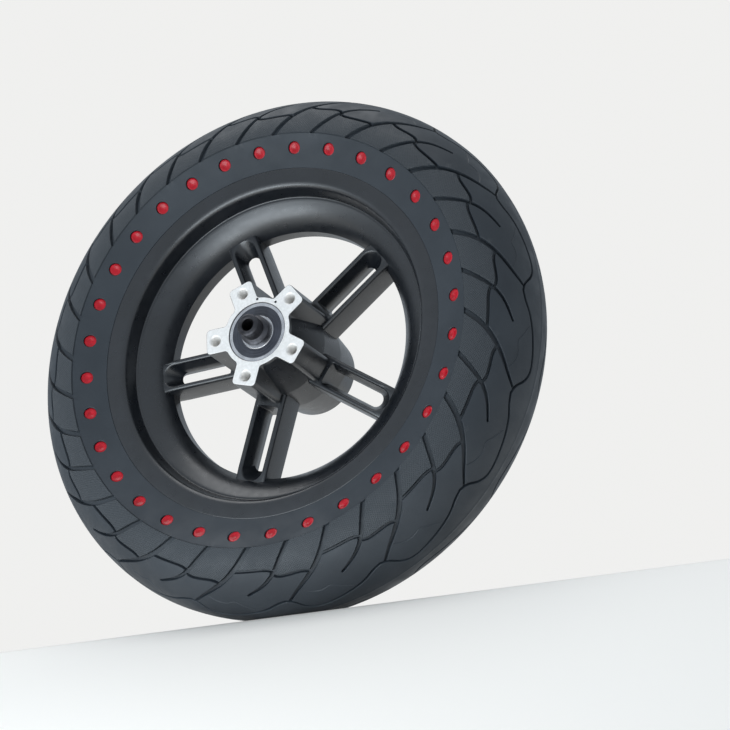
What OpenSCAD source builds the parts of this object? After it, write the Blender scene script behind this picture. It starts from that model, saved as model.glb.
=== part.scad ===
// Small scooter wheel: a solid honeycomb tyre on a cast five-spoke wheel with a brake-disc
// mount, turning on a stepped axle in two sealed ball bearings.
// The wheel turns about Y, and the brake-disc side faces -Y. All sizes are in millimetres.

/* [Tyre] */
// Outer diameter of the tyre
tyre_d = 216; // [212:1:220]
// Width of the tyre at its widest
tyre_w = 49.8; // [48:0.2:52]
// Radius at which the tread section is widest
tread_centre_r = 85; // [84:0.5:86]
// Height of the shoulder blocks over the smooth band with the holes
band_step = 1.2; // [0.5:0.1:1.5]
// Diameter of the circle of side holes
hole_circle_d = 161.4; // [160:0.2:163]
// Number of side holes
hole_count = 32; // [16:1:40]
// Direction of the first side hole, from +X towards +Z
hole_phase = 2.7; // [0:0.1:11]
// Diameter of a side hole
hole_d = 5.6; // [4:0.1:6]
// Depth of an insert's face below the sidewall
insert_recess = 1.2; // [0.5:0.1:2]
// Length of an insert
insert_len = 6; // [3:0.5:8]

/* [Rim] */
// Outer diameter of the flanges, where the rubber begins
flange_d = 146.2; // [145:0.2:148]
// Width over the flanges
flange_w = 38.2; // [37:0.2:39]
// Thickness of a flange
flange_t = 2.8; // [2.4:0.1:3.2]
// Diameter of the bead seats
seat_d = 134; // [133:0.5:135]
// Diameter of the crest where the barrel begins
crest_d = 124; // [123:0.2:126.6]
// Distance of that crest from the middle of the wheel
crest_y = 12.1; // [11.8:0.1:12.5]
// Smallest inner diameter of the rim
throat_d = 104; // [102:0.5:105]
// Width of the rim at its smallest inner diameter
throat_w = 6; // [5:0.5:7]

/* [Spokes] */
// Number of spokes, and of ears on the disc mount
spoke_count = 5; // [5:1:5]
// Direction of the first spoke, from +X towards +Z
spoke_phase = 39; // [0:1:71]
// Width of a spoke
spoke_w = 13.2; // [12.8:0.2:14.4]
// Depth of a spoke along the axle
spoke_h = 13; // [12:0.5:14]
// Width of the slot through a spoke
slot_w = 7.4; // [6:0.2:7.8]
// Radius at which the slot begins
slot_start_r = 23.2; // [23:0.1:25]
// Radius at which the slot's round end stops
slot_end_r = 52; // [50:0.5:52]

/* [Hub and disc mount] */
// Distance of the disc seat from the middle of the wheel
disc_face_y = 28.6; // [28:0.1:30]
// Distance of the hub's other face from the middle of the wheel
rear_face_y = 26; // [25:0.5:27]
// Radius of the disc seat between the ears
seat_ring_r = 14.4; // [14:0.1:15]
// Radius of the hub where the spokes meet it
hub_r = 19; // [18.5:0.5:20]
// Radius to the tip of an ear
ear_tip_r = 22.2; // [22:0.1:23]
// Width of an ear
ear_w = 10.5; // [10:0.1:11]
// Corner radius of an ear
ear_corner_r = 1.8; // [1:0.1:2.5]
// Fillet radius at the root of an ear
ear_fillet_r = 1.6; // [1:0.1:2]
// Diameter of the circle of disc screws
disc_pcd = 36.5; // [36:0.1:37]
// Core diameter of a disc screw's M5 thread
disc_hole_d = 4.2; // [4:0.1:4.5]
// Depth of a disc screw's hole
disc_hole_depth = 14; // [10:0.5:16]

/* [Axle] */
// Length of the axle
axle_len = 74; // [72:0.5:78]
// Diameter of the axle's ends
axle_end_d = 9; // [8.5:0.1:10]
// Length of the thick part beyond each bearing
journal_out = 2.2; // [1:0.1:3]
// Core diameter of the M6 thread in each end
axle_thread_d = 5; // [4.2:0.1:5.2]
// Depth of the thread in each end
axle_thread_depth = 16; // [12:0.5:18]

/* [Bearings] */
// Bore of a bearing
bearing_bore = 12; // [12:1:12]
// Outer diameter of a bearing
bearing_od = 24; // [24:1:24]
// Width of a bearing
bearing_w = 6; // [6:1:6]
// Depth of a bearing below the hub's face
bearing_recess = 0.4; // [0.2:0.1:0.8]
// Number of balls in a bearing
ball_count = 10; // [8:1:10]
// Diameter of a ball
ball_d = 3.175; // [3:0.005:3.2]

/* [Hidden] */
round_fn = 96;
small_fn = 32;
arc_steps = 12;
journal_play = 0.01;
FRONT = -1;
REAR = 1;

// Tyre: the tread is half an ellipse, the band inside it a cone down to the flange.
tyre_r = tyre_d / 2;
crown_h = tyre_r - tread_centre_r;
flange_r = flange_d / 2;
flange_y = flange_w / 2;
seat_r = seat_d / 2;
seat_inner_y = 11;
belly_r = seat_r - 3;
belly_y = seat_inner_y - 3;
band_y = tyre_w / 2 - band_step;
band_slope = (band_y - flange_y) / (tread_centre_r - flange_r);
hole_y = flange_y + band_slope * (hole_circle_d / 2 - flange_r);
insert_face_y = hole_y - insert_recess;

// Rim: lip rounding, groove behind the lip and wall thickness
crest_r = crest_d / 2;
throat_r = throat_d / 2;
throat_y = throat_w / 2;
lip_r = 4;
lip_centre_r = flange_r - 4.1;
lip_centre_y = flange_y - lip_r;
groove_depth = 0.9;
groove_half_w = 0.9;
well_r = throat_r + 4.5;
well_y = 2.2;
spoke_root_r = well_r - 0.5;
spoke_root_y = 2;
spoke_tip_r = well_r + 1.5;

// Hub
spoke_y = spoke_h / 2;
hub_y = spoke_y + 0.6;
ear_root_y = 3;
seat_ring_t = 1.2;
rear_hub_r = 16.5;
core_bore_r = 10.3;
bore_chamfer = 0.4;
thread_chamfer = 0.5;
dimple_r = 0.6;
dimple_depth = 0.5;
dimple_ring_r = 13.75;
dimple_angles = [54, 90];

// Axle
journal_r = bearing_bore / 2 - journal_play;
shoulder_len = 1.2;
end_chamfer = 0.6;

// Bearings
pitch_r = (bearing_bore + bearing_od) / 4;
bearing_half_w = bearing_w / 2;
front_bearing_y = -(disc_face_y - bearing_recess - bearing_half_w);
rear_bearing_y = rear_face_y - bearing_recess - bearing_half_w;
ball_play = 0.015;
groove_r = 1.04 * ball_d / 2;
inner_groove_centre = pitch_r - ball_d / 2 - ball_play + groove_r;
outer_groove_centre = pitch_r + ball_d / 2 + ball_play - groove_r;
inner_land_r = 7.9;
inner_step_r = 7;
outer_land_r = 10.15;
outer_step_r = 10.75;
land_half_w = 2.2;
ring_edge = 0.25;
seal_gap = 0.05;
seal_t = 0.5;
seal_y = land_half_w + 0.15;
pocket_r = ball_d / 2 + 0.06;
cage_sheet = 0.35;
cage_half_w = 0.7;
rivet_r = 0.3;
rivet_head_r = 0.5;
rivet_head_t = 0.2;
spacer_r = 8;
spacer_bore_r = bearing_bore / 2 + 0.1;

// Points of an arc of radius r about [x, y], from angle a to angle b
function arc(x, y, r, a, b, n = arc_steps) =
    [for (i = [0:n]) let (t = a + (b - a) * i / n) [x + r * cos(t), y + r * sin(t)]];

// The same points on the other side of the middle plane, in reverse order
function mirrored(pts) = [for (i = [len(pts) - 1:-1:0]) [pts[i][0], -pts[i][1]]];

// Solid of revolution about Y from [radius, y] points
module lathe(pts) rotate([-90, 0, 0]) rotate_extrude($fn = round_fn) polygon(pts);

// Cylinder along Y from y1 to y2
module rod(r, y1, y2, fn = round_fn)
    translate([0, min(y1, y2), 0]) rotate([-90, 0, 0]) cylinder(r = r, h = abs(y2 - y1), $fn = fn);

// Cone along Y: radius ra at ya, radius rb at yb
module cone(ra, ya, rb, yb) lathe([[0, ya], [ra, ya], [rb, yb], [0, yb]]);

// Copies about the axle: the first at angle phase from +X towards +Z
module around(count, phase = 0)
    for (k = [0:count - 1]) rotate([0, -(phase + k * 360 / count), 0]) children();

// ---- tyre ----

module tyre_body() {
    tread = [for (i = [0:4 * arc_steps]) let (t = -90 + 180 * i / (4 * arc_steps))
        [tread_centre_r + crown_h * cos(t), tyre_w / 2 * sin(t)]];
    foot = [[tread_centre_r, band_y], [flange_r, flange_y], [flange_r, flange_y - flange_t],
        [seat_r, flange_y - flange_t], [seat_r, seat_inner_y], [belly_r, belly_y]];
    lathe(concat(tread, foot, mirrored(foot)));
}

module tyre() color([0.10, 0.10, 0.11]) difference() {
    tyre_body();
    around(hole_count, hole_phase) translate([hole_circle_d / 2, 0, 0])
        rod(hole_d / 2, -tyre_w, tyre_w, small_fn);
}

// Red plugs that close the holes on one side
module inserts(side) color([0.80, 0.06, 0.12])
    around(hole_count, hole_phase) translate([hole_circle_d / 2, 0, 0])
        rod(hole_d / 2, side * insert_face_y, side * (insert_face_y - insert_len), small_fn);

module front_inserts() inserts(FRONT);
module rear_inserts() inserts(REAR);

// ---- wheel casting ----

// Outline of the rim's rear half, from the throat round the flange to the tyre's well
function rim_half() = concat(
    [[throat_r, throat_y], [crest_r - 0.3, crest_y - 0.3]],
    arc(crest_r + 0.2 + groove_half_w, crest_y, groove_depth, 180, 360, 6),
    arc(lip_centre_r, lip_centre_y, lip_r, 180, 90),
    [[flange_r - 0.4, flange_y], [flange_r, flange_y - 0.4], [flange_r, flange_y - flange_t],
     [seat_r, flange_y - flange_t], [seat_r, seat_inner_y], [well_r, well_y]]);

module rim() lathe(concat(rim_half(), mirrored(rim_half())));

// One spoke along +X, with its slot. Its root follows the slope of the rim's wall.
module spoke() difference() {
    translate([0, 0, -spoke_w / 2]) linear_extrude(spoke_w)
        polygon([[0, -spoke_y], [spoke_tip_r, -spoke_y], [spoke_root_r, -spoke_root_y],
            [spoke_root_r, spoke_root_y], [spoke_tip_r, spoke_y], [0, spoke_y]]);
    slot();
}

module slot() {
    slot_r = slot_w / 2;
    translate([slot_start_r, -spoke_h, -slot_r])
        cube([slot_end_r - slot_r - slot_start_r, 2 * spoke_h, slot_w]);
    translate([slot_end_r - slot_r, 0, 0]) rod(slot_r, -spoke_h, spoke_h, small_fn);
}

// The points turned about the origin by angle a
function turned(a, pts) =
    [for (p = pts) [p[0] * cos(a) - p[1] * sin(a), p[0] * sin(a) + p[1] * cos(a)]];

// Outline of the disc seat: a ring with an ear in front of each spoke, filleted at its root
function seat_outline() = let (corner_x = ear_tip_r - ear_corner_r,
        corner_z = ear_w / 2 - ear_corner_r, root_z = ear_w / 2 + ear_fillet_r,
        root_r = seat_ring_r + ear_fillet_r, root_a = asin(root_z / root_r),
        root_x = root_r * cos(root_a), step = 360 / spoke_count)
    [for (k = [0:spoke_count - 1]) each turned(spoke_phase + k * step, concat(
        arc(root_x, -root_z, ear_fillet_r, 180 - root_a, 90, 6),
        arc(corner_x, -corner_z, ear_corner_r, -90, 0, 6),
        arc(corner_x, corner_z, ear_corner_r, 0, 90, 6),
        arc(root_x, root_z, ear_fillet_r, -90, root_a - 180, 6),
        [for (i = [1:5]) let (t = root_a + (step - 2 * root_a) * i / 6)
            [seat_ring_r * cos(t), seat_ring_r * sin(t)]]))];

module hub() {
    translate([0, -ear_root_y, 0]) rotate([90, 0, 0])
        linear_extrude(disc_face_y - ear_root_y) polygon(seat_outline());
    cone(seat_ring_r - 0.1, -disc_face_y + seat_ring_t, hub_r, -hub_y);
    rod(hub_r, -hub_y, hub_y);
    cone(hub_r, hub_y, rear_hub_r, rear_face_y);
}

// Seat for one bearing, open towards the hub's face
module bearing_seat(side, face_y) {
    rod(bearing_od / 2, side * (face_y - bearing_recess - bearing_w), side * (face_y + 1));
    cone(bearing_od / 2, side * (face_y - bore_chamfer), bearing_od / 2 + bore_chamfer + 0.1,
        side * (face_y + 0.1));
}

module wheel_casting() color([0.13, 0.13, 0.14]) difference() {
    union() {
        rim();
        around(spoke_count, spoke_phase) spoke();
        hub();
    }
    rod(core_bore_r, -disc_face_y - 1, rear_face_y + 1);
    bearing_seat(FRONT, disc_face_y);
    bearing_seat(REAR, rear_face_y);
    around(spoke_count, spoke_phase) translate([disc_pcd / 2, 0, 0]) {
        rod(disc_hole_d / 2, -disc_face_y - 1, -disc_face_y + disc_hole_depth, small_fn);
        cone(disc_hole_d / 2 + thread_chamfer + 0.1, -disc_face_y - 0.1,
            disc_hole_d / 2, -disc_face_y + thread_chamfer);
    }
    for (a = dimple_angles) rotate([0, -a, 0]) translate([dimple_ring_r, 0, 0])
        rod(dimple_r, -disc_face_y - 1, -disc_face_y + dimple_depth, small_fn);
}

// ---- axle and spacer ----

module axle() color([0.22, 0.22, 0.24]) difference() {
    tip = axle_len / 2;
    tip_r = axle_end_d / 2;
    front_shoulder = disc_face_y - bearing_recess + journal_out;
    rear_shoulder = rear_face_y - bearing_recess + journal_out;
    lathe([[0, -tip], [tip_r - end_chamfer, -tip], [tip_r, -tip + end_chamfer],
        [tip_r, -front_shoulder - shoulder_len], [journal_r, -front_shoulder],
        [journal_r, rear_shoulder], [tip_r, rear_shoulder + shoulder_len],
        [tip_r, tip - end_chamfer], [tip_r - end_chamfer, tip], [0, tip]]);
    for (side = [FRONT, REAR]) {
        rod(axle_thread_d / 2, side * (tip - axle_thread_depth), side * (tip + 1), small_fn);
        cone(axle_thread_d / 2, side * (tip - thread_chamfer),
            axle_thread_d / 2 + thread_chamfer + 0.1, side * (tip + 0.1));
    }
}

module bearing_spacer() color([0.62, 0.62, 0.64]) difference() {
    rod(spacer_r, front_bearing_y + bearing_half_w, rear_bearing_y - bearing_half_w);
    rod(spacer_bore_r, front_bearing_y, rear_bearing_y);
}

// ---- bearings, each drawn about its own middle ----

module ring_groove(centre_r) rotate([-90, 0, 0]) rotate_extrude($fn = round_fn)
    translate([centre_r, 0]) circle(r = groove_r, $fn = small_fn);

module outer_ring() color([0.80, 0.80, 0.82]) difference() {
    rod(bearing_od / 2, -bearing_half_w, bearing_half_w);
    rod(outer_land_r, -bearing_w, bearing_w);
    for (side = [FRONT, REAR]) rod(outer_step_r, side * land_half_w, side * bearing_w);
    ring_groove(outer_groove_centre);
}

module inner_ring() color([0.80, 0.80, 0.82]) difference() {
    lathe([[bearing_bore / 2, -bearing_half_w], [inner_step_r - ring_edge, -bearing_half_w],
        [inner_step_r, -bearing_half_w + ring_edge], [inner_step_r, -land_half_w],
        [inner_land_r, -land_half_w], [inner_land_r, land_half_w], [inner_step_r, land_half_w],
        [inner_step_r, bearing_half_w - ring_edge], [inner_step_r - ring_edge, bearing_half_w],
        [bearing_bore / 2, bearing_half_w]]);
    ring_groove(inner_groove_centre);
}

module balls() color([0.85, 0.85, 0.87])
    around(ball_count) translate([pitch_r, 0, 0]) sphere(d = ball_d, $fn = small_fn);

// Half of the riveted ribbon cage: half-round pockets over the balls, joined by flat tabs
module cage_half(side) color([0.66, 0.64, 0.58]) difference() {
    union() {
        tube(pitch_r - cage_half_w, pitch_r + cage_half_w, 0, side * cage_sheet);
        around(ball_count) difference() {
            pocket(pocket_r + cage_sheet, cage_half_w);
            translate([pitch_r, -side * ball_d, 0]) cube(2 * ball_d, center = true);
        }
    }
    around(ball_count) pocket(pocket_r, 2 * cage_half_w);
    around(ball_count, 180 / ball_count) translate([pitch_r, 0, 0])
        rod(rivet_r, -1, 1, small_fn);
}

// Cylinder of radius r lying along a radius of the bearing, centred on a ball
module pocket(r, half_len) translate([pitch_r - half_len, 0, 0]) rotate([0, 90, 0])
    cylinder(r = r, h = 2 * half_len, $fn = small_fn);

module tube(r1, r2, y1, y2) difference() {
    rod(r2, y1, y2);
    rod(r1, min(y1, y2) - 1, max(y1, y2) + 1);
}

module cage_rivets() color([0.70, 0.68, 0.62]) around(ball_count, 180 / ball_count)
    translate([pitch_r, 0, 0]) {
        rod(rivet_r, -cage_sheet, cage_sheet, small_fn);
        for (side = [FRONT, REAR])
            rod(rivet_head_r, side * cage_sheet, side * (cage_sheet + rivet_head_t), small_fn);
    }

module seal(side) color([0.16, 0.17, 0.20])
    tube(inner_step_r + seal_gap, outer_step_r, side * seal_y, side * (seal_y + seal_t));

module at_front() translate([0, front_bearing_y, 0]) children();
module at_rear() translate([0, rear_bearing_y, 0]) children();

tyre();
front_inserts();
rear_inserts();
wheel_casting();
axle();
bearing_spacer();
at_front() outer_ring();  // front_outer_ring
at_front() inner_ring();  // front_inner_ring
at_front() balls();  // front_balls
at_front() cage_half(FRONT);  // front_cage_outer_half
at_front() cage_half(REAR);  // front_cage_inner_half
at_front() cage_rivets();  // front_cage_rivets
at_front() seal(FRONT);  // front_outer_seal
at_front() seal(REAR);  // front_inner_seal
at_rear() outer_ring();  // rear_outer_ring
at_rear() inner_ring();  // rear_inner_ring
at_rear() balls();  // rear_balls
at_rear() cage_half(REAR);  // rear_cage_outer_half
at_rear() cage_half(FRONT);  // rear_cage_inner_half
at_rear() cage_rivets();  // rear_cage_rivets
at_rear() seal(REAR);  // rear_outer_seal
at_rear() seal(FRONT);  // rear_inner_seal
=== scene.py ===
import math

import bmesh
import bpy
import numpy as np
from mathutils import Euler, Matrix, Vector
from mathutils.geometry import delaunay_2d_cdt


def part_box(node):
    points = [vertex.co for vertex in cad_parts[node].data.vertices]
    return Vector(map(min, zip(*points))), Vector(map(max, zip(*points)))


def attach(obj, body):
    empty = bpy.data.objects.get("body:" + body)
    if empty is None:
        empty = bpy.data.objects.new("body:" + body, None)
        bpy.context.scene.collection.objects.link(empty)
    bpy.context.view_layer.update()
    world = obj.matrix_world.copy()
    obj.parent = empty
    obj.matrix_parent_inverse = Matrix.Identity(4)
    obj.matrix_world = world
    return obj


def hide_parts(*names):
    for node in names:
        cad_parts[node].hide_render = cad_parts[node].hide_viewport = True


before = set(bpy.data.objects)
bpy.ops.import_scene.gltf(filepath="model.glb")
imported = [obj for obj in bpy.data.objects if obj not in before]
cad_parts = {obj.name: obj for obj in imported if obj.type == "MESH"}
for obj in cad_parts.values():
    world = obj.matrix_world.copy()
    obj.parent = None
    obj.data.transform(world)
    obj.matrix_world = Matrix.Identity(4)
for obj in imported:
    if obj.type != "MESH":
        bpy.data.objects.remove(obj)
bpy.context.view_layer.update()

# Section and tread sizes are in millimetres. Angles about the axle are in degrees, from +X towards +Z.
MM = 0.001
TYRE_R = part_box("tyre")[1][2] / MM
TYRE_HALF_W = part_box("tyre")[1][1] / MM
DISC_FACE_Y = -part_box("wheel_casting")[0][1] / MM

# ---- materials ----


class Shader:
    """A node material with a Principled shader, and short calls to wire it."""

    def __init__(self, name, colour, roughness, metallic=0.0, specular=0.5):
        self.material = bpy.data.materials.new(name)
        self.material.use_nodes = True
        self.nodes = self.material.node_tree.nodes
        self.links = self.material.node_tree.links
        self.bsdf = self.nodes["Principled BSDF"]
        self.bsdf.inputs["Base Color"].default_value = (*colour, 1)
        self.bsdf.inputs["Roughness"].default_value = roughness
        self.bsdf.inputs["Metallic"].default_value = metallic
        self.bsdf.inputs["Specular IOR Level"].default_value = specular
        self.place = self.nodes.new("ShaderNodeTexCoord").outputs["Object"]

    def wire(self, value, socket):
        if isinstance(value, bpy.types.NodeSocket):
            self.links.new(value, socket)
        else:
            socket.default_value = value

    def math(self, operation, a, b=0.0):
        node = self.nodes.new("ShaderNodeMath")
        node.operation = operation
        self.wire(a, node.inputs[0])
        self.wire(b, node.inputs[1])
        return node.outputs[0]

    def noise(self, scale, detail=3.0, place=None):
        node = self.nodes.new("ShaderNodeTexNoise")
        self.wire(place or self.place, node.inputs["Vector"])
        node.inputs["Scale"].default_value = scale
        node.inputs["Detail"].default_value = detail
        return node.outputs["Fac"]

    def ramp(self, value, low, high, to_low=0.0, to_high=1.0):
        node = self.nodes.new("ShaderNodeMapRange")
        node.interpolation_type = "SMOOTHSTEP"
        for socket, number in zip(node.inputs, (value, low, high, to_low, to_high)):
            self.wire(number, socket)
        return node.outputs["Result"]

    def mix(self, factor, a, b):
        node = self.nodes.new("ShaderNodeMix")
        node.data_type = "RGBA"
        self.wire(factor, node.inputs["Factor"])
        for value, socket in ((a, node.inputs[6]), (b, node.inputs[7])):
            self.wire(value if isinstance(value, bpy.types.NodeSocket) else (*value, 1), socket)
        return node.outputs[2]

    def split(self, vector):
        node = self.nodes.new("ShaderNodeSeparateXYZ")
        self.links.new(vector, node.inputs[0])
        return node.outputs

    def axle_radius(self):
        x, _, z = self.split(self.place)
        return self.math("SQRT", self.math("ADD", self.math("MULTIPLY", x, x), self.math("MULTIPLY", z, z)))

    def bump(self, height, distance, strength=1.0):
        node = self.nodes.new("ShaderNodeBump")
        node.inputs["Distance"].default_value = distance
        self.wire(strength, node.inputs["Strength"])
        self.links.new(height, node.inputs["Height"])
        if self.bsdf.inputs["Normal"].is_linked:
            self.links.new(self.bsdf.inputs["Normal"].links[0].from_socket, node.inputs["Normal"])
        self.links.new(node.outputs["Normal"], self.bsdf.inputs["Normal"])

    def set(self, name, value):
        self.wire(value, self.bsdf.inputs[name])


def rubber():
    """Moulded tyre rubber: charcoal, satin, with a fine diamond mesh on the shoulder blocks."""
    s = Shader("tyre_rubber", (0.03, 0.033, 0.037), 0.5, specular=0.45)
    s.set("Roughness", s.ramp(s.noise(140, 5), 0.3, 0.7, 0.44, 0.6))
    uv = s.nodes.new("ShaderNodeUVMap")
    uv.uv_map = "chart"
    across, along, _ = s.split(uv.outputs["UV"])
    lines = []
    for sign in (1, -1):
        slant = s.math("ADD", s.math("MULTIPLY", across, 0.8 * sign), along)
        wave = s.math("SINE", s.math("MULTIPLY", slant, 2 * math.pi / MESH_PITCH))
        lines.append(s.ramp(wave, -0.2, 0.7))
    zone = s.nodes.new("ShaderNodeAttribute")
    zone.attribute_name = "mesh_zone"
    mesh = s.math("MULTIPLY", s.math("MAXIMUM", *lines), zone.outputs["Fac"])
    plain = s.mix(s.ramp(s.noise(38, 4), 0.35, 0.7), (0.021, 0.027, 0.034), (0.029, 0.036, 0.044))
    s.set("Base Color", s.mix(mesh, plain, (0.042, 0.049, 0.056)))
    s.bump(mesh, 0.00018, 0.8)
    s.bump(s.noise(900, 2), 0.00004, 0.5)
    return s.material


def red_plastic():
    """Moulded red plastic with a thin gloss."""
    s = Shader("red_insert", (0.45, 0.003, 0.012), 0.3, specular=0.35)
    s.set("Base Color", s.mix(s.ramp(s.noise(420, 2), 0.3, 0.7), (0.36, 0.002, 0.009), (0.5, 0.004, 0.016)))
    s.bsdf.inputs["Coat Weight"].default_value = 0.1
    s.bsdf.inputs["Coat Roughness"].default_value = 0.12
    s.bump(s.noise(700, 2), 0.00006, 0.4)
    return s.material


def casting_finish():
    """Satin black powder coat, with bare machined metal on the disc seat."""
    s = Shader("black_casting", (0.006, 0.008, 0.011), 0.35, specular=0.9)
    _, y, _ = s.split(s.place)
    machined = s.nodes.new("ShaderNodeAttribute")
    machined.attribute_name = "bare"
    face = s.ramp(y, -(DISC_FACE_Y - 0.06) * MM, -(DISC_FACE_Y - 0.12) * MM, 1.0, 0.0)
    bare = s.math("MAXIMUM", face, machined.outputs["Fac"])
    coat = s.mix(s.ramp(s.noise(60, 3), 0.3, 0.7), (0.0045, 0.0060, 0.0084), (0.0075, 0.0095, 0.0130))
    metal = s.mix(s.ramp(s.noise(900, 4), 0.35, 0.7), (0.87, 0.85, 0.82), (0.96, 0.94, 0.915))
    s.set("Base Color", s.mix(bare, coat, metal))
    s.set("Metallic", s.math("MULTIPLY", bare, 0.45))
    s.set("Roughness", s.ramp(bare, 0.0, 1.0, s.ramp(s.noise(300, 4), 0.3, 0.7, 0.27, 0.34), 0.45))
    turned = s.math("SINE", s.math("MULTIPLY", s.axle_radius(), 2 * math.pi / 0.00035))
    s.bump(turned, 0.00001, s.math("MULTIPLY", bare, 0.5))
    s.bump(s.noise(1300, 3), 0.00004, 0.35)
    return s.material


def steel(name, dark, light, roughness, turning=0.0):
    """Turned or ground metal. turning is the strength of its fine rings."""
    s = Shader(name, dark, roughness, metallic=0.9)
    s.set("Base Color", s.mix(s.ramp(s.noise(260, 4), 0.3, 0.7), dark, light))
    s.set("Roughness", s.ramp(s.noise(480, 3), 0.3, 0.7, roughness * 0.8, roughness * 1.25))
    _, y, _ = s.split(s.place)
    rings = s.math("SINE", s.math("MULTIPLY", s.math("ADD", y, s.axle_radius()), 2 * math.pi / 0.0004))
    s.bump(rings, 0.00002, turning)
    return s.material


def seal_rubber():
    """Dark blue-grey seal rubber with fine moulded rings."""
    s = Shader("seal_rubber", (0.03, 0.033, 0.045), 0.42, specular=0.5)
    worn = s.ramp(s.noise(300, 3), 0.3, 0.7)
    s.set("Base Color", s.mix(worn, (0.026, 0.029, 0.040), (0.040, 0.044, 0.058)))
    ring = s.math("SINE", s.math("MULTIPLY", s.axle_radius(), 2 * math.pi / 0.0011))
    s.bump(ring, 0.00008, 0.5)
    return s.material


def floor_paper():
    """Pale paper that glows a little, so that it is as light as the backdrop."""
    s = Shader("floor_paper", (0.92, 0.9, 0.87), 0.6, specular=0.2)
    s.set("Base Color", s.mix(s.noise(3, 2), (0.90, 0.865, 0.815), (0.915, 0.88, 0.83)))
    s.bsdf.inputs["Emission Color"].default_value = (1, 0.97, 0.93, 1)
    s.bsdf.inputs["Emission Strength"].default_value = 0.1
    return s.material


# ---- mesh helpers ----


def new_object(name, mesh, material):
    piece = bpy.data.objects.new(name, mesh)
    bpy.context.scene.collection.objects.link(piece)
    mesh.materials.append(material)
    return piece


def smooth(mesh, angle):
    """Smooth shading, with edges sharper than angle left crisp."""
    mesh.shade_smooth()
    mesh.set_sharp_from_angle(angle=math.radians(angle))


def on_wheel(angle, radius, y):
    """The place at that angle about the axle, in metres."""
    a = np.radians(angle)
    return np.stack([radius * np.cos(a), y + 0 * a, radius * np.sin(a)], axis=-1) * MM


def join_rows(bm, rows):
    """Quads between each closed row of points and the next."""
    for a, b in zip(rows, rows[1:]):
        for i in range(len(a)):
            j = (i + 1) % len(a)
            bm.faces.new((a[i], a[j], b[j], b[i]))


def spline(points, step):
    """Points about step apart on a smooth curve through the given ones; every column is carried."""
    p = np.array(points, float)
    ends = np.vstack([2 * p[0] - p[1], p, 2 * p[-1] - p[-2]])
    out = []
    for a, b, c, d in zip(ends, ends[1:], ends[2:], ends[3:]):
        length = math.hypot((c[0] - b[0]) * MM_PER_DEGREE, c[1] - b[1])
        count = max(1, round(length / step))
        for t in np.arange(count) / count:
            out.append(0.5 * (2 * b + (c - a) * t + (2 * a - 5 * b + 4 * c - d) * t**2
                              + (3 * b - a - 3 * c + d) * t**3))
    return np.array(out + [p[-1]])


# ---- tyre ----

# Half the section, by the length s along it from the rim's seam to the crown.
SEAM_R, SEAM_Y = 73.1, 19.1
BAND_S, BLOCK_S = 14.2, 14.5
BAND_R, BAND_Y = 85.9, 24.3
WIDEST_R, WIDEST_S = 85.0, 13.24
CHART_R = 97.0
MM_PER_DEGREE = math.radians(CHART_R)

BAND_BOW, BAND_POINTS = 0.25, 12
HOLE_R, HOLE_CIRCLE_R, HOLE_PHASE = 2.8, 80.7, 2.7
HOLE_S = BAND_S * (HOLE_CIRCLE_R - SEAM_R) / (BAND_R - SEAM_R)
# Depth inside a hole, by the distance inwards from its edge
HOLE_IN = (0, 0.16, 0.24)
HOLE_DEPTHS = (0, 0.12, 3.2)
PITCHES = 16
PITCH = 360 / PITCHES
HOLE_STEP = PITCH / 2
START = -35.5
MESH_PITCH = 0.9

# Grooves of one pitch as (angle, s, half width) along their middles
GROOVES = {
    "long": [(-25.0, 13.4, 1.3), (-28.95, 21.9, 1.2), (-32.9, 28.1, 1.05), (-38.3, 34.8, 0.8),
             (-41.0, 38.9, 0.66)],
    "short": [(-13.9, 13.4, 1.1), (-17.3, 20.6, 1.05), (-19.8, 25.8, 0.9), (-22.8, 29.9, 0.75),
              (-27.2, 33.8, 0.6)],
    "inner_link": [(-29.5, 23.8, 0.7), (-22.2, 23.8, 0.7), (-19.7, 24.9, 0.7)],
    "outer_link": [(-20.2, 25.8, 0.7), (-18.3, 27.3, 0.72), (-13.2, 27.4, 0.72), (-11.0, 28.6, 0.72)],
    "wave": [(-42.2, 38.8, 0.62), (-40.4, 40.2, 0.62), (-38.3, 44.3, 0.62), (-35.6, 46.1, 0.64),
             (-30.0, 44.7, 0.64), (-25.0, 42.3, 0.62), (-21.9, 39.8, 0.62), (-19.7, 38.8, 0.62)],
}
WITNESS_LINE = [(-37.2, 34.9, 0.28), (-35.6, 36.8, 0.28), (-33.4, 37.7, 0.28), (-31.2, 36.9, 0.28),
                (-29.6, 38.9, 0.28), (-27.2, 41.8, 0.28)]
WITNESS_IN, WITNESS_DEPTH = 0.28, 0.2
# Depth of the grooves by s, and the share of it by the distance inwards from a groove's edge
GROOVE_S = (BAND_S, BLOCK_S, 19.0, 30.0, 40.0)
GROOVE_DEPTHS = (0, 1.3, 1.4, 1.5, 1.4, 1.3)
EDGE_IN = (0.0, 0.12, 0.38)
EDGE_SHARE = (0.0, 0.08, 1.0)
SEAM_RIDGE = 0.12

# Mesh steps, and how far the filling points stay from grooves, holes and edges
GROOVE_STEP = 1.25
FILL_STEP = 2.3
COLUMNS = 24
CLEAR = 0.7
CLEAR_OF_EDGE = 0.8


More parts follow.
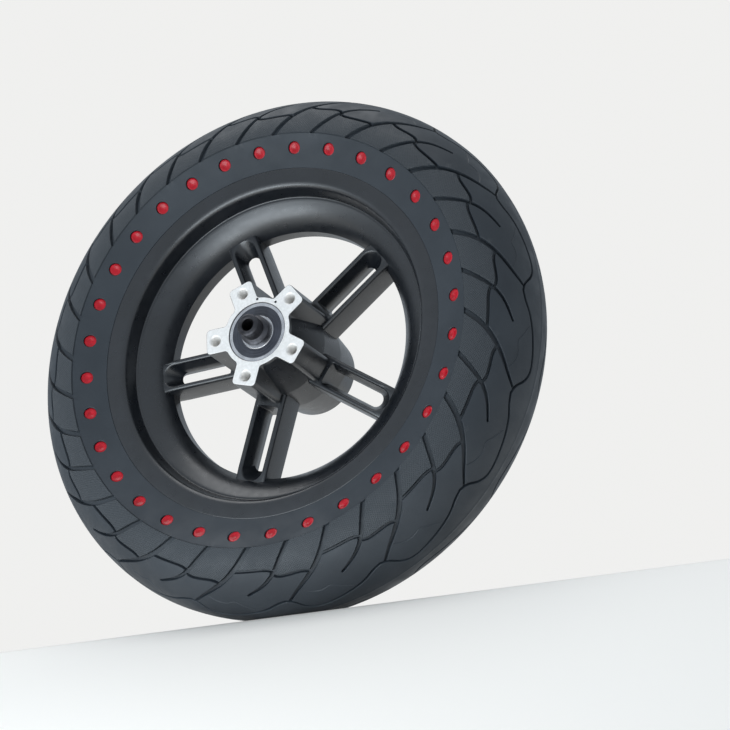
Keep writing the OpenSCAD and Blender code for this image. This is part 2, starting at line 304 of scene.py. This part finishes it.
def section():
    """Tables of s, radius, distance from the middle plane and outward normal over half the section."""
    turn = np.linspace(0, math.pi / 2, 800)
    crown_h = TYRE_R - WIDEST_R
    r = WIDEST_R + crown_h * np.sin(turn)
    y = TYRE_HALF_W * np.cos(turn)
    s = WIDEST_S + np.concatenate([[0], np.cumsum(np.hypot(np.diff(r), np.diff(y)))])
    normal = np.stack([np.sin(turn) / crown_h, np.cos(turn) / TYRE_HALF_W])
    normal /= np.hypot(*normal)
    kept = s > BLOCK_S
    slope = math.hypot(BAND_R - SEAM_R, BAND_Y - SEAM_Y)
    band_normal = np.array([[SEAM_Y - BAND_Y], [BAND_R - SEAM_R]]) / slope
    band_s = np.linspace(0, BAND_S, BAND_POINTS)
    share = band_s / BAND_S
    band_y = SEAM_Y + (BAND_Y - SEAM_Y) * share - 4 * BAND_BOW * share * (1 - share)
    return (
        np.concatenate([band_s, s[kept]]),
        np.concatenate([SEAM_R + (BAND_R - SEAM_R) * share, r[kept]]),
        np.concatenate([band_y, y[kept]]),
        np.hstack([np.repeat(band_normal, len(band_s), 1), normal[:, kept]]),
    )


SECTION = section()
CROWN_S = SECTION[0][-1]


def groove_lines():
    """Sampled middles of the grooves, each repeated one pitch to either side."""
    named = {**GROOVES, "witness": WITNESS_LINE}
    return {name: [spline(points, GROOVE_STEP) + (turn * PITCH, 0, 0) for turn in (-1, 0, 1)]
            for name, points in named.items()}


def distance_to(lines, angle, s, mm_per_degree):
    """Distance from each place to the nearest edge of these grooves, negative inside."""
    best = np.full(len(s), 1e9)
    for line in lines:
        for a, b in zip(line, line[1:]):
            ax, ay = (angle - a[0]) * mm_per_degree, s - a[1]
            bx, by = (b[0] - a[0]) * mm_per_degree, b[1] - a[1]
            t = np.clip((ax * bx + ay * by) / (bx * bx + by * by), 0, 1)
            width = a[2] + (b[2] - a[2]) * t
            best = np.minimum(best, np.hypot(ax - t * bx, ay - t * by) - width)
    return best


def tread_depth(angle, s, lines):
    """How far each place lies below the tyre's outline."""
    per_degree = np.radians(np.interp(s, SECTION[0], SECTION[1]))
    full = np.interp(s, (*GROOVE_S, CROWN_S), GROOVE_DEPTHS)
    grooves = [line for name in GROOVES for line in lines[name]]
    inside = -distance_to(grooves, angle, s, per_degree)
    depth = full * np.interp(inside, EDGE_IN, EDGE_SHARE)
    inside = -distance_to(lines["witness"], angle, s, per_degree)
    depth = np.maximum(depth, np.interp(inside, (0, WITNESS_IN), (0, WITNESS_DEPTH)))
    return depth + np.interp(HOLE_R - from_hole(angle, s, per_degree), HOLE_IN, HOLE_DEPTHS)


def from_hole(angle, s, mm_per_degree):
    """Distance from each place to the middle of the nearest hole."""
    turned = (angle - HOLE_PHASE + HOLE_STEP / 2) % HOLE_STEP - HOLE_STEP / 2
    return np.hypot(turned * mm_per_degree, s - HOLE_S)


class Chart:
    """Points and edges of one pitch of the tyre's surface, laid flat as (x, s) in millimetres."""

    def __init__(self):
        self.points, self.edges, self.index = [], [], {}
        self.low, self.high = START * MM_PER_DEGREE, (START + PITCH) * MM_PER_DEGREE

    def point(self, x, s):
        key = (round(x, 4), round(s, 4))
        if key not in self.index:
            self.index[key] = len(self.points)
            self.points.append((x, s))
        return self.index[key]

    def edge(self, a, b, floor):
        """The part of the edge from a to b between the sides of the pitch and above floor."""
        near, far = 0.0, 1.0
        across = (a[0], b[0] - a[0], self.low, self.high)
        along = (a[1], b[1] - a[1], floor, CROWN_S)
        for start, run, low, high in (across, along):
            if abs(run) < 1e-12:
                if not low <= start <= high:
                    return
                continue
            t = sorted(((low - start) / run, (high - start) / run))
            near, far = max(near, t[0]), min(far, t[1])
        if near >= far:
            return
        ends = []
        for t in (near, far):
            x, s = a[0] + t * (b[0] - a[0]), a[1] + t * (b[1] - a[1])
            x = self.low if abs(x - self.low) < 1e-6 else self.high if abs(x - self.high) < 1e-6 else x
            ends.append(self.point(x, s))
        if ends[0] != ends[1]:
            self.edges.append(tuple(ends))

    def path(self, points, floor=0.0):
        for a, b in zip(points, points[1:]):
            self.edge(a, b, floor)


def outline(line, inset, closed):
    """Both sides of a groove, inset from its edge, with round ends if it is closed."""
    per_degree = np.radians(np.interp(line[:, 1], SECTION[0], SECTION[1]))
    along = np.gradient(line[:, :2], axis=0) * np.stack([per_degree, np.ones(len(line))], 1)
    along /= np.hypot(along[:, 0], along[:, 1])[:, None]
    half = np.maximum(line[:, 2] - inset, 0.04)

    def shifted(i, turn):
        x = math.cos(turn) * along[i, 0] - math.sin(turn) * along[i, 1]
        s = math.sin(turn) * along[i, 0] + math.cos(turn) * along[i, 1]
        return ((line[i, 0] + half[i] * x / per_degree[i]) * MM_PER_DEGREE, line[i, 1] + half[i] * s)

    left = [shifted(i, math.pi / 2) for i in range(len(line))]
    right = [shifted(i, -math.pi / 2) for i in range(len(line))]
    if not closed:
        return [left, right]
    far = [shifted(-1, t) for t in np.radians((60, 30, 0, -30, -60))]
    near = [shifted(0, t) for t in np.radians((240, 210, 180, 150, 120))]
    return [left + far + right[::-1] + near + left[:1]]


def pitch_chart(lines):
    """The chart of one pitch, cut into triangles along every groove, hole and step."""
    chart = Chart()
    for name, copies in lines.items():
        for line in copies:
            for inset in ((0, WITNESS_IN - 0.01) if name == "witness" else EDGE_IN):
                for path in outline(line, inset, name != "wave"):
                    chart.path(path, BAND_S)
    first_hole = HOLE_PHASE + math.ceil((START - HOLE_PHASE) / HOLE_STEP) * HOLE_STEP
    turns = np.radians(np.linspace(0, 360, 33))
    for angle in (first_hole, first_hole + HOLE_STEP):
        for inset in HOLE_IN:
            s = HOLE_S + (HOLE_R - inset) * np.sin(turns)
            r = np.interp(s, SECTION[0], SECTION[1])
            x = angle * MM_PER_DEGREE + (HOLE_R - inset) * np.cos(turns) * CHART_R / r
            chart.path(list(zip(x, s)))
    columns = np.linspace(chart.low, chart.high, COLUMNS + 1)
    for s in (0.0, 0.6, BAND_S, BLOCK_S, CROWN_S - 0.4, CROWN_S):
        chart.path([(x, s) for x in columns])
    crossings = sorted(s for x, s in chart.points if x == chart.low)
    for s in np.arange(FILL_STEP, CROWN_S - 1, FILL_STEP):
        if min(abs(s - other) for other in crossings) > 0.5:
            chart.point(chart.low, s)
            chart.point(chart.high, s)
    fill_grid(chart, lines)
    flat = [Vector(p) for p in chart.points]
    points, _, faces, _, _, _ = delaunay_2d_cdt(flat, chart.edges, [], 0, 1e-5)
    return np.array([tuple(p) for p in points]), np.array(faces)


def fill_grid(chart, lines):
    """Staggered points over what lies clear of the grooves, holes and edges."""
    grid = []
    for row, s in enumerate(np.arange(FILL_STEP * 0.8, CROWN_S - 1, FILL_STEP * 0.86)):
        step = FILL_STEP * CHART_R / np.interp(s, SECTION[0], SECTION[1])
        first = chart.low + step * (0.8 + 0.5 * (row % 2))
        grid += [(x, s) for x in np.arange(first, chart.high - 0.6 * step, step)]
    grid = np.array(grid)
    angle, s = grid[:, 0] / MM_PER_DEGREE, grid[:, 1]
    per_degree = np.radians(np.interp(s, SECTION[0], SECTION[1]))
    every = [line for copies in lines.values() for line in copies]
    clear = distance_to(every, angle, s, per_degree) > CLEAR
    clear &= from_hole(angle, s, per_degree) > HOLE_R + CLEAR
    for level in (BAND_S, BLOCK_S, CROWN_S):
        clear &= np.abs(s - level) > CLEAR_OF_EDGE
    for x, at in grid[clear]:
        chart.point(x, at)


def mesh_zone(angle, s, depth):
    """1 on the outer blocks, which carry the fine diamond mesh, and 0 elsewhere."""
    local = (angle + 19.9) % PITCH
    limit = np.where(local < 11.2, 27.4, 23.8)
    return ((s > BAND_S + 0.1) & (s < limit) & (depth < 0.3)).astype(float)


def tyre_mesh():
    lines = groove_lines()
    flat, triangles = pitch_chart(lines)
    angle, s = flat[:, 0] / MM_PER_DEGREE, flat[:, 1]
    depth = tread_depth(angle, s, lines)
    depth[s > CROWN_S - 0.01] = -SEAM_RIDGE
    zone = mesh_zone(angle, s, depth)
    normal = [np.interp(s, SECTION[0], n) for n in SECTION[3]]
    r = np.interp(s, SECTION[0], SECTION[1]) - depth * normal[0]
    y = np.interp(s, SECTION[0], SECTION[2]) - depth * normal[1]
    places, faces, uvs, zones = [], [], [], []
    for side in (-1, 1):
        for turn in range(PITCHES):
            base = len(places) * len(flat)
            places.append(on_wheel(angle + turn * PITCH, r, side * y))
            faces.append(triangles[:, ::side] + base)
            uvs.append(flat + (turn * PITCH * MM_PER_DEGREE, 0))
            zones.append(zone)
    places, faces = np.concatenate(places), np.concatenate(faces)
    uvs, zones = np.concatenate(uvs), np.concatenate(zones)
    mesh = bpy.data.meshes.new("tyre_with_tread")
    mesh.from_pydata(places.tolist(), [], faces.tolist())
    mesh.uv_layers.new(name="chart").data.foreach_set("uv", uvs[faces.ravel()].ravel())
    mesh.attributes.new("mesh_zone", "FLOAT", "POINT").data.foreach_set("value", zones)
    add_foot(mesh)
    return mesh


def add_foot(mesh):
    """Closes the tyre over the hidden part in the rim, and welds the pitches together."""
    gap = 0.03
    seat_r, seat_y, well_r, well_y = 67.0 + gap, 16.3 - gap, 64.0 + gap, 8.0
    half = [(SEAM_R, SEAM_Y), (SEAM_R + gap, seat_y + 1.5), (SEAM_R, seat_y),
            (seat_r + 3, seat_y), (seat_r, seat_y), (seat_r, 11.0), (well_r, well_y)]
    ring = half + [(r, -y) for r, y in reversed(half)]
    angles = START + np.arange(PITCHES * COLUMNS) * PITCH / COLUMNS
    bm = bmesh.new()
    bm.from_mesh(mesh)
    rows = [[bm.verts.new(p) for p in on_wheel(angles, r, -y)] for r, y in ring]
    join_rows(bm, rows)
    bmesh.ops.remove_doubles(bm, verts=bm.verts, dist=0.004 * MM)
    bmesh.ops.dissolve_degenerate(bm, edges=bm.edges, dist=0.001 * MM)
    bmesh.ops.recalc_face_normals(bm, faces=bm.faces)
    bm.to_mesh(mesh)
    bm.free()


def make_tyre(material):
    mesh = tyre_mesh()
    smooth(mesh, 28)
    piece = new_object("tyre_with_tread", mesh, material)
    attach(piece, "wheel")
    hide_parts("tyre")


# ---- inserts ----

# Radius and height over the insert's outer face, from its middle to its foot
INSERT_PROFILE = [(0, -0.5), (0.5, -0.47), (1.0, -0.3), (1.5, -0.1), (1.95, 0.0), (2.3, -0.06),
                  (2.55, -0.24), (2.7, -0.5), (2.74, -1.2), (2.74, -2.2), (0, -2.2)]
INSERT_SIDES = 28
INSERT_RECESS = 0.6


def insert_mesh(side, name):
    """One ring of 32 dished plugs along the band; side is -1 for the front, 1 for the rear."""
    bm = bmesh.new()
    band_r, band_y = SECTION[1][:BAND_POINTS], SECTION[2][:BAND_POINTS]
    turns = 2 * math.pi * np.arange(INSERT_SIDES) / INSERT_SIDES
    for k in range(2 * PITCHES):
        centre = Vector(on_wheel(HOLE_PHASE + k * HOLE_STEP, HOLE_CIRCLE_R, 0.0))
        rows = []
        for radius, height in INSERT_PROFILE:
            row = []
            for t in turns if radius else turns[:1]:
                place = centre + MM * Vector((radius * math.cos(t), 0, radius * math.sin(t)))
                band = np.interp(math.hypot(place.x, place.z) / MM, band_r, band_y)
                place.y = side * MM * (band + height - INSERT_RECESS)
                row.append(bm.verts.new(place))
            rows.append(row)
        for a, b in zip(rows, rows[1:]):
            for i in range(INSERT_SIDES):
                j = (i + 1) % INSERT_SIDES
                corners = [a[i % len(a)], a[j % len(a)], b[j % len(b)], b[i % len(b)]]
                bm.faces.new(list(dict.fromkeys(corners)))
    bmesh.ops.recalc_face_normals(bm, faces=bm.faces)
    mesh = bpy.data.meshes.new(name + "_plugs")
    bm.to_mesh(mesh)
    bm.free()
    return mesh


def make_inserts(material):
    for side, name in ((-1, "front_inserts"), (1, "rear_inserts")):
        mesh = insert_mesh(side, name)
        smooth(mesh, 40)
        piece = new_object(name + "_plugs", mesh, material)
        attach(piece, "wheel")
        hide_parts(name)


# ---- wheel casting ----

# Sizes from the middle plane outwards; the casting's two sides are alike but for the hub.
SPOKES, SPOKE_PHASE = 5, 39.0
RIM_SIDES = 180
THROAT_R, THROAT_Y = 52.0, 2.6
CREST_R, CREST_Y = 62.3, 11.9
BARREL_FULLNESS = 1.2
GROOVE_R, LIP_WALL_R, LIP_ROUND = 63.4, 65.5, 3.3
FLANGE_R, FLANGE_Y, FLANGE_T = 73.1, 19.1, 2.8
SEAT_R, SEAT_EDGE_Y, WELL_R, WELL_Y = 67.0, 11.0, 56.5, 2.2
HUB_R, HUB_Y, REAR_HUB_R, REAR_Y = 19.0, 7.1, 16.5, 26.0
CORE_R, BEARING_R, BEARING_W, RECESS = 10.3, 12.0, 6.0, 0.4

# Across a spoke's rail, from its side to the slot's wall: (half width, height)
RAIL_OUTER = [(6.95, 0.0), (6.85, 2.6), (6.72, 5.2), (6.6, 5.8), (6.35, 6.2), (5.95, 6.44), (5.55, 6.5)]
RAIL_INNER = [(5.35, 6.5), (4.98, 6.43), (4.66, 6.2), (4.46, 5.8), (4.36, 5.2), (3.4, 2.4), (2.9, 0.0)]
SLOT_START_R, SLOT_END_R = 23.2, 54.3
RAIL_DROP_R, RAIL_DROP_LENGTH, RAIL_DROP = 50.5, 8, 0.2
SPOKE_START_R, SPOKE_START_ROUND = 14.0, 1.4
# Where a spoke's end meets the barrel: its radius low down, and how far out it leans by its top
SPOKE_END_R, SPOKE_END_LEAN, SPOKE_FOOT_Y = 55.4, 5.0, 2.0
SPOKE_TOP_Y = 6.5
SLOT_END_LEAN = 0.9

EAR_W, EAR_TIP_R, EAR_CORNER_R, EAR_FILLET_R, EAR_RING_R = 10.5, 22.2, 1.8, 1.6, 14.4
EAR_ROOT_Y = 3.0
SCREW_R, SCREW_CIRCLE_R, SCREW_DEPTH, SCREW_CHAMFER = 2.1, 18.25, 10.0, 0.5
THREAD_PITCH, THREAD_DEPTH = 0.8, 0.28
MARK_R, MARK_DEPTH, MARK_CIRCLE_R, MARK_ANGLES = 0.6, 0.45, 13.75, (54, 90)
SEAT_EDGE = 0.25


def rounded(corners, steps=5):
    """The open outline through (r, y, radius) corners, with each corner rounded by its radius."""
    out = []
    for i, (r, y, radius) in enumerate(corners):
        if not radius:
            out.append((r, y))
            continue
        here = Vector((r, y))
        before = (Vector(corners[i - 1][:2]) - here).normalized()
        after = (Vector(corners[i + 1][:2]) - here).normalized()
        reach = radius / math.tan(before.angle(after) / 2)
        for t in np.linspace(0, 1, steps + 1):
            out.append(tuple(here + before * reach * (1 - t) ** 2 + after * reach * t**2))
    return out


def add_turned(bm, profile, sides):
    """A closed solid of revolution about the axle from a closed (radius, y) outline."""
    angles = np.arange(sides) * 360 / sides
    rows = [[bm.verts.new(p) for p in on_wheel(angles, r, y)] for r, y in profile]
    join_rows(bm, rows + rows[:1])


def rim_outline():
    """The rim's section: throat, bulging barrel, crest, lip, flange, tyre seat and well."""
    barrel = []
    for t in np.linspace(0.03, 0.98, 24):
        bulge = BARREL_FULLNESS * math.sin(math.pi * t)
        barrel.append((THROAT_R + (CREST_R - THROAT_R) * t - 0.66 * bulge,
                       THROAT_Y + (CREST_Y - THROAT_Y) * t + 0.75 * bulge, 0))
    seat_y = FLANGE_Y - FLANGE_T
    lip = [(CREST_R + 0.15, CREST_Y, 0.12), (GROOVE_R, CREST_Y + 0.1, 0.7),
           (LIP_WALL_R, FLANGE_Y, LIP_ROUND), (FLANGE_R, FLANGE_Y, 0.35)]
    seat = [(FLANGE_R, seat_y, 0), (SEAT_R, seat_y, 0), (SEAT_R, SEAT_EDGE_Y, 1.0), (WELL_R, WELL_Y, 0)]
    half = rounded([(THROAT_R, 0, 0), (THROAT_R, THROAT_Y, 0.5)] + barrel + lip + seat)
    return half + [(r, -y) for r, y in reversed(half[1:])]


def spoke_row(half_w, height, side, share):
    """One row round a spoke, share of the way from its outside (0) to its slot (1)."""
    climbed = max(0.0, height - SPOKE_FOOT_Y) / (SPOKE_TOP_Y - SPOKE_FOOT_Y)
    wall_r = SPOKE_END_R + SPOKE_END_LEAN * climbed
    slot_r = SLOT_END_R - SLOT_END_LEAN * (SPOKE_TOP_Y - height)
    start = SPOKE_START_R + (SLOT_START_R - SPOKE_START_R) * share
    end = wall_r + (slot_r - wall_r) * share
    square = 0.3 + 0.7 * share
    row = []
    for a in np.radians(np.linspace(-90, 90, 17)):
        c, s = abs(math.cos(a)) ** square, abs(math.sin(a)) ** square * np.sign(a)
        row.append((end - half_w + half_w * c, half_w * s))
    far, near = end - half_w, start + SPOKE_START_ROUND
    row += [(far + (near - far) * t, half_w) for t in np.arange(1, 9) / 9]
    for a in np.radians(np.linspace(90, 270, 9)):
        c, s = abs(math.cos(a)) ** 0.4, abs(math.sin(a)) ** 0.4 * np.sign(math.sin(a))
        row.append((near - SPOKE_START_ROUND * c, half_w * s))
    row += [(near + (far - near) * t, -half_w) for t in np.arange(1, 9) / 9]
    out = []
    for x, z in row:
        sunk = min(1, max(0, (x - RAIL_DROP_R) / RAIL_DROP_LENGTH))
        drop = RAIL_DROP * (1 - math.cos(math.pi * sunk)) / 2
        out.append((x, side * height * (1 - drop), z))
    return out


def add_spoke(bm, angle):
    """One spoke: a frame of two rails round a slot, rounded along its edges."""
    front = [spoke_row(w, h, -1, 0) for w, h in RAIL_OUTER]
    front += [spoke_row(w, h, -1, 1) for w, h in RAIL_INNER]
    rear = [spoke_row(w, h, 1, 1) for w, h in reversed(RAIL_INNER[:-1])]
    rear += [spoke_row(w, h, 1, 0) for w, h in reversed(RAIL_OUTER[1:])]
    turn = Matrix.Rotation(-math.radians(angle), 3, "Y")
    rows = [[bm.verts.new(turn @ Vector(p) * MM) for p in row] for row in front + rear]
    join_rows(bm, rows + rows[:1])


def arc(x, z, radius, start, end, steps=6):
    turns = np.radians(np.linspace(start, end, steps + 1))
    return [(x + radius * math.cos(t), z + radius * math.sin(t)) for t in turns]


def seat_outline():
    """The disc seat's outline: a ring with an ear in front of each spoke, filleted at its root."""
    corner_x, corner_z = EAR_TIP_R - EAR_CORNER_R, EAR_W / 2 - EAR_CORNER_R
    root_r, root_z = EAR_RING_R + EAR_FILLET_R, EAR_W / 2 + EAR_FILLET_R
    root_a = math.degrees(math.asin(root_z / root_r))
    root_x = root_r * math.cos(math.radians(root_a))
    ear = arc(root_x, -root_z, EAR_FILLET_R, 180 - root_a, 90)
    ear += arc(corner_x, -corner_z, EAR_CORNER_R, -90, 0)
    ear += arc(corner_x, corner_z, EAR_CORNER_R, 0, 90)
    ear += arc(root_x, root_z, EAR_FILLET_R, -90, root_a - 180)
    ear += arc(0, 0, EAR_RING_R, root_a, 360 / SPOKES - root_a, 6)[1:-1]
    out = []
    for k in range(SPOKES):
        turn = math.radians(SPOKE_PHASE + k * 360 / SPOKES)
        c, s = math.cos(turn), math.sin(turn)
        out += [(x * c - z * s, x * s + z * c) for x, z in ear]
    return np.array(out)


def inset(outline, depth):
    """The closed outline moved inwards; it runs anticlockwise."""
    along = np.roll(outline, -1, 0) - np.roll(outline, 1, 0)
    along /= np.hypot(along[:, 0], along[:, 1])[:, None]
    return outline + depth * np.stack([-along[:, 1], along[:, 0]], 1)


def circle(centre, radius, count):
    """A closed ring of count points."""
    turns = 2 * np.pi * np.arange(count) / count
    return np.stack([centre[0] + radius * np.cos(turns), centre[1] + radius * np.sin(turns)], 1)


def row_at(bm, outline, y):
    """Mesh points along the closed outline, y from the middle plane."""
    return [bm.verts.new((x * MM, y * MM, z * MM)) for x, z in outline]


def fill_between(bm, rings, holes):
    """Triangles between the closed rings, leaving out what lies within the last ones, the holes."""
    points = [v for ring in rings + holes for v in ring]
    edges = []
    for ring in rings + holes:
        base = len(edges)
        edges += [(base + i, base + (i + 1) % len(ring)) for i in range(len(ring))]
    flat = [Vector((v.co.x, v.co.z)) / MM for v in points]
    _, _, faces, origin, _, _ = delaunay_2d_cdt(flat, edges, [], 0, 1e-6)
    bounds = [[flat[points.index(v)] for v in ring] for ring in rings + holes]
    for face in faces:
        middle = sum((flat[origin[i][0]] for i in face), Vector((0, 0))) / 3
        if sum(inside(middle, ring) for ring in bounds) == 1:
            bm.faces.new([points[origin[i][0]] for i in face])


def inside(p, ring):
    """Whether the place lies within the closed ring."""
    crossed = False
    for a, b in zip(ring, ring[1:] + ring[:1]):
        if (a.y > p.y) != (b.y > p.y) and p.x < a.x + (b.x - a.x) * (p.y - a.y) / (b.y - a.y):
            crossed = not crossed
    return crossed


def add_seat(bm):
    """The disc seat with its ears, bearing bore, screw holes and two punch marks."""
    face = -DISC_FACE_Y
    shape = seat_outline()
    bare = bm.verts.layers.float["bare"]
    edge = row_at(bm, inset(shape, SEAT_EDGE), face)
    root = row_at(bm, shape, -EAR_ROOT_Y)
    join_rows(bm, [edge, row_at(bm, shape, face + SEAT_EDGE), root])
    mouth = row_at(bm, circle((0, 0), BEARING_R + RECESS, 64), face)
    floor = row_at(bm, circle((0, 0), BEARING_R, 64), -EAR_ROOT_Y)
    join_rows(bm, [mouth, row_at(bm, circle((0, 0), BEARING_R, 64), face + RECESS), floor])
    holes = [mouth]
    for k in range(SPOKES):
        turn = math.radians(SPOKE_PHASE + k * 360 / SPOKES)
        centre = (SCREW_CIRCLE_R * math.cos(turn), SCREW_CIRCLE_R * math.sin(turn))
        rows = [row_at(bm, circle(centre, SCREW_R + SCREW_CHAMFER, 28), face)]
        y = face + SCREW_CHAMFER
        while y < face + SCREW_DEPTH:
            rows.append(row_at(bm, circle(centre, SCREW_R, 28), y))
            rows.append(row_at(bm, circle(centre, SCREW_R + THREAD_DEPTH, 28), y + THREAD_PITCH / 2))
            y += THREAD_PITCH
        for vert in [v for row in rows for v in row]:
            vert[bare] = 1.0
        join_rows(bm, rows)
        bm.faces.new(rows[-1])
        holes.append(rows[0])
    for angle in MARK_ANGLES:
        turn = math.radians(angle)
        centre = (MARK_CIRCLE_R * math.cos(turn), MARK_CIRCLE_R * math.sin(turn))
        rows = [row_at(bm, circle(centre, MARK_R, 14), face),
                row_at(bm, circle(centre, MARK_R / 2, 14), face + MARK_DEPTH)]
        join_rows(bm, rows)
        bm.faces.new(rows[-1])
        holes.append(rows[0])
    fill_between(bm, [edge], holes)
    fill_between(bm, [root], [floor])


def hub_outline():
    """The hub's section, bored for a bearing at each end and narrower between them."""
    rear_step = REAR_Y - RECESS - BEARING_W
    front_step = -DISC_FACE_Y + RECESS + BEARING_W
    under_face = -DISC_FACE_Y + 1.2
    return rounded([(EAR_RING_R - 0.1, under_face, 0), (HUB_R, -HUB_Y, 3.0), (HUB_R, HUB_Y, 3.0),
                    (REAR_HUB_R, REAR_Y, 0.8), (BEARING_R + RECESS, REAR_Y, 0),
                    (BEARING_R, REAR_Y - RECESS, 0), (BEARING_R, rear_step, 0), (CORE_R, rear_step, 0),
                    (CORE_R, front_step, 0), (BEARING_R, front_step, 0), (BEARING_R, under_face, 0)])


def make_casting(material):
    """The rim, hub, spokes and disc seat as closed shells in one piece."""
    bm = bmesh.new()
    bm.verts.layers.float.new("bare")
    add_turned(bm, rim_outline(), RIM_SIDES)
    add_turned(bm, hub_outline(), 96)
    for k in range(SPOKES):
        add_spoke(bm, SPOKE_PHASE + k * 360 / SPOKES)
    add_seat(bm)
    bmesh.ops.recalc_face_normals(bm, faces=bm.faces)
    mesh = bpy.data.meshes.new("casting")
    bm.to_mesh(mesh)
    bm.free()
    smooth(mesh, 38)
    piece = new_object("casting", mesh, material)
    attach(piece, "wheel")
    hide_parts("wheel_casting")


# ---- carried-over CAD nodes ----


def finish_node(name, material):
    """Gives a part that keeps its CAD mesh its material."""
    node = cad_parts[name]
    node.data.materials.clear()
    node.data.materials.append(material)


def make_metal():
    finish_node("axle", steel("blackened_steel", (0.045, 0.045, 0.05), (0.10, 0.10, 0.11), 0.36, 0.5))
    finish_node("bearing_spacer", steel("spacer_steel", (0.35, 0.35, 0.37), (0.5, 0.5, 0.52), 0.35, 0.4))
    bright = steel("bearing_steel", (0.55, 0.55, 0.57), (0.75, 0.75, 0.77), 0.2, 0.2)
    sheet = steel("cage_steel", (0.42, 0.40, 0.35), (0.6, 0.58, 0.5), 0.35)
    seal = seal_rubber()
    for side in ("front_", "rear_"):
        for name in ("outer_ring", "inner_ring", "balls"):
            finish_node(side + name, bright)
        for name in ("cage_outer_half", "cage_inner_half", "cage_rivets"):
            finish_node(side + name, sheet)
        for name in ("outer_seal", "inner_seal"):
            finish_node(side + name, seal)


# ---- floor, light and camera ----

FLOOR_Z = -TYRE_R * MM
FLOOR_BEND_R = 0.02
FLOOR_SLOPE = 34
FLOOR_REACH = 2.6
GLOW_DISTANCE = 0.32
COOL = (0.84, 0.93, 1.0)
BACKDROP = (0.87, 0.87, 0.86, 1)
SURROUND = (0.52, 0.575, 0.63, 1)
CAMERA_PLACE = (0.4387, -0.8599, -0.3761)
CAMERA_TILT, CAMERA_TURN = 0.368098, 0.440685


def make_floor(material):
    """A pale sheet, level under and behind the wheel, that bends down in front of it."""
    profile = [(FLOOR_REACH, FLOOR_Z), (0.3, FLOOR_Z)]
    turns = np.radians(np.linspace(0, FLOOR_SLOPE, 13))
    profile += [(-FLOOR_BEND_R * math.sin(t), FLOOR_Z - FLOOR_BEND_R * (1 - math.cos(t))) for t in turns]
    y, z = profile[-1]
    profile.append((y - FLOOR_REACH * math.cos(turns[-1]), z - FLOOR_REACH * math.sin(turns[-1])))
    bm = bmesh.new()
    rows = [[bm.verts.new((x, y, z)) for x in (-FLOOR_REACH, FLOOR_REACH)] for y, z in profile]
    for a, b in zip(rows, rows[1:]):
        bm.faces.new((a[0], b[0], b[1], a[1]))
    mesh = bpy.data.meshes.new("floor")
    bm.to_mesh(mesh)
    bm.free()
    mesh.shade_smooth()
    floor = new_object("floor", mesh, material)


def make_light(name, place, size, power, colour=(1, 1, 1)):
    """A soft square light that shines at the wheel."""
    lamp = bpy.data.lights.new(name, "AREA")
    lamp.size = size
    lamp.energy = power
    lamp.color = colour
    holder = bpy.data.objects.new(name, lamp)
    holder.location = place
    holder.rotation_euler = (-Vector(place)).to_track_quat("-Z", "Y").to_euler()
    holder.visible_camera = False
    bpy.context.scene.collection.objects.link(holder)


def make_lights():
    """Soft light from above and from a window, and the glow of the sheet in front of the wheel."""
    slope = math.radians(FLOOR_SLOPE)
    glow = (-0.08, -GLOW_DISTANCE * math.cos(slope), FLOOR_Z - GLOW_DISTANCE * math.sin(slope))
    make_light("overhead", (-0.5, -0.3, 1.8), 1.5, 12)
    make_light("window", (-0.42, -0.68, -0.3), 0.6, 1.3, COOL)
    make_light("sheet_glow", glow, 0.4, 1.8, COOL)


def make_world():
    """A near-white backdrop in the picture, and a dimmer, cooler surround that lights the wheel."""
    world = bpy.data.worlds.new("studio")
    world.use_nodes = True
    nodes, links = world.node_tree.nodes, world.node_tree.links
    background = nodes["Background"]
    seen = nodes.new("ShaderNodeLightPath").outputs["Is Camera Ray"]
    colour = nodes.new("ShaderNodeMix")
    colour.data_type = "RGBA"
    links.new(seen, colour.inputs["Factor"])
    colour.inputs[6].default_value = SURROUND
    colour.inputs[7].default_value = BACKDROP
    links.new(colour.outputs[2], background.inputs["Color"])
    background.inputs["Strength"].default_value = 1.0
    bpy.context.scene.world = world


def make_camera():
    """The photograph's place and angle, low in front of the disc side, without lens shift."""
    camera = bpy.data.cameras.new("camera")
    camera.sensor_width = 36
    camera.lens = 128.09
    camera.clip_end = 20
    holder = bpy.data.objects.new("camera", camera)
    holder.location = CAMERA_PLACE
    holder.rotation_euler = Euler((math.pi / 2 + CAMERA_TILT, 0, CAMERA_TURN))
    bpy.context.scene.collection.objects.link(holder)
    bpy.context.scene.camera = holder


make_camera()
make_tyre(rubber())
make_inserts(red_plastic())
make_casting(casting_finish())
make_metal()
make_floor(floor_paper())
make_lights()
make_world()
bpy.context.scene.view_settings.view_transform = "Standard"
